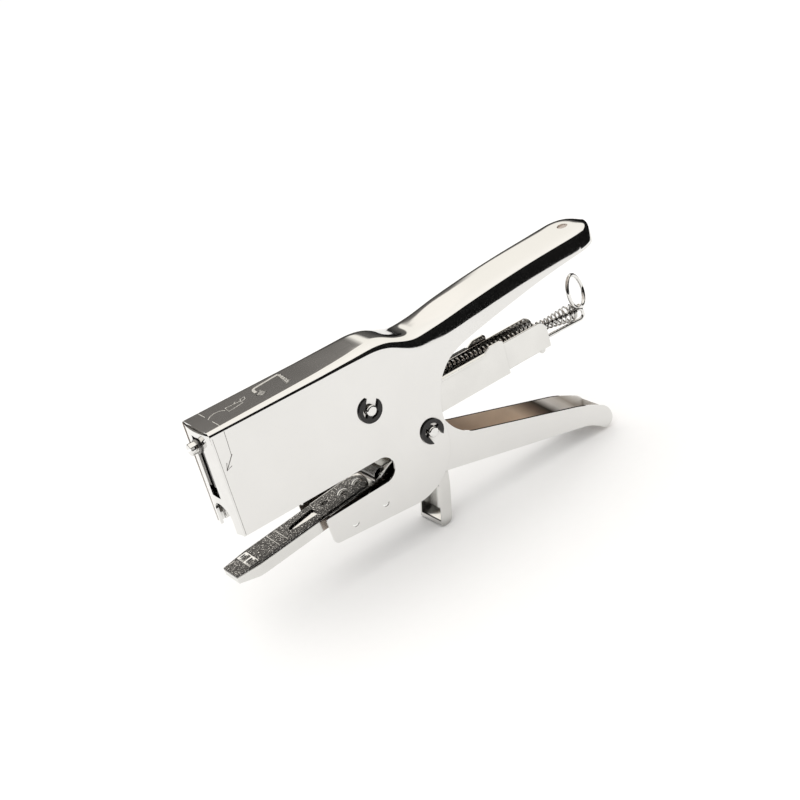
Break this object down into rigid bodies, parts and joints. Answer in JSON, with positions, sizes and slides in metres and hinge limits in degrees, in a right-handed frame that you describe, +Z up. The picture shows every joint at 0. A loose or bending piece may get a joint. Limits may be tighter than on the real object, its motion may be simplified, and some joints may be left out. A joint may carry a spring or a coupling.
{
  "type": "plier stapler",
  "caption": "Chrome plier stapler: squeezing the sprung lower handle raises the anvil jaw and drives the blade; a wire ring pulls the staple feeder out.",
  "frame": {"origin": "bottom centre of the whole stapler's box, at rest; the tail of the anvil lever is the lowest point", "axes": "+X from the driver head to the ends of the handles, +Y across towards the pin heads, +Z up, top of the head level"},
  "size_m": [0.2166, 0.0282, 0.0998],
  "materials": {
    "plated_shell": "polished nickel chrome plate",
    "plated_small": "bright plated small parts",
    "plated_dull": "plated sheet with rolled texture",
    "black_oxide": "black oxide finish, slight sheen",
    "spring_steel": "bright drawn wire",
    "steel_dark": "hardened steel, bare",
    "staple_wire": "galvanised staple wire"
  },
  "bodies": {
    "frame": {"body_shell": "plated_shell", "front_plate": "plated_small", "upper_pin": "plated_small", "lower_pin": "plated_small", "e_clips": "black_oxide", "magazine_channel": "plated_dull", "magazine_core": "steel_dark", "magazine_rivets": "plated_dull", "staple_strip": "staple_wire", "driver_guide_far": "steel_dark", "driver_guide_near": "steel_dark", "handle_spring": "spring_steel", "anvil_spring": "spring_steel"},
    "handle": {"lower_handle": "plated_shell", "driver_lever": "steel_dark", "lever_rivets": "plated_dull", "drive_studs": "steel_dark"},
    "driver": {"driver_blade": "steel_dark", "driver_carriage": "steel_dark", "driver_bush": "steel_dark", "driver_screw": "plated_small"},
    "anvil": {"anvil_arm": "plated_dull", "clinch_plate": "plated_dull", "anvil_rivets": "plated_small", "anvil_bracket": "plated_dull", "spring_pin": "plated_small"},
    "feeder": {"feeder_slide": "plated_dull", "feeder_rod": "plated_small", "spring_stop": "plated_small", "feeder_spring": "spring_steel"},
    "pusher": {"pusher": "steel_dark"}
  },
  "joints": [
    {"name": "handle_hinge", "type": "hinge", "parent": "frame", "child": "handle", "pos_m": [-0.02972, 0, 0.07179], "axis": [0, -1, 0], "range_deg": [0, 16], "stiffness_Nm_per_rad": 1.6, "springref_deg": -14.32, "deforming": ["handle_spring"]},
    {"name": "driver_slide", "type": "slide", "parent": "frame", "child": "driver", "axis": [0, 0, -1], "range_m": [0, 0.0192]},
    {"name": "anvil_hinge", "type": "hinge", "parent": "frame", "child": "anvil", "pos_m": [-0.00392, 0, 0.04789], "axis": [0, 1, 0], "range_deg": [0, 9.1], "deforming": ["anvil_spring"]},
    {"name": "feeder_slide_out", "type": "slide", "parent": "frame", "child": "feeder", "axis": [1, 0, 0], "range_m": [0, 0.06]},
    {"name": "pusher_slide", "type": "slide", "parent": "feeder", "child": "pusher", "axis": [1, 0, 0], "range_m": [0, 0.033], "stiffness_N_per_m": 60, "springref_m": -0.01, "deforming": ["feeder_spring"]}
  ],
  "couplings": [
    {"joint": "driver_slide", "follows": "handle_hinge", "m_per_rad": 0.068},
    {"joint": "anvil_hinge", "follows": "handle_hinge", "ratio": 0.5625}
  ]
}
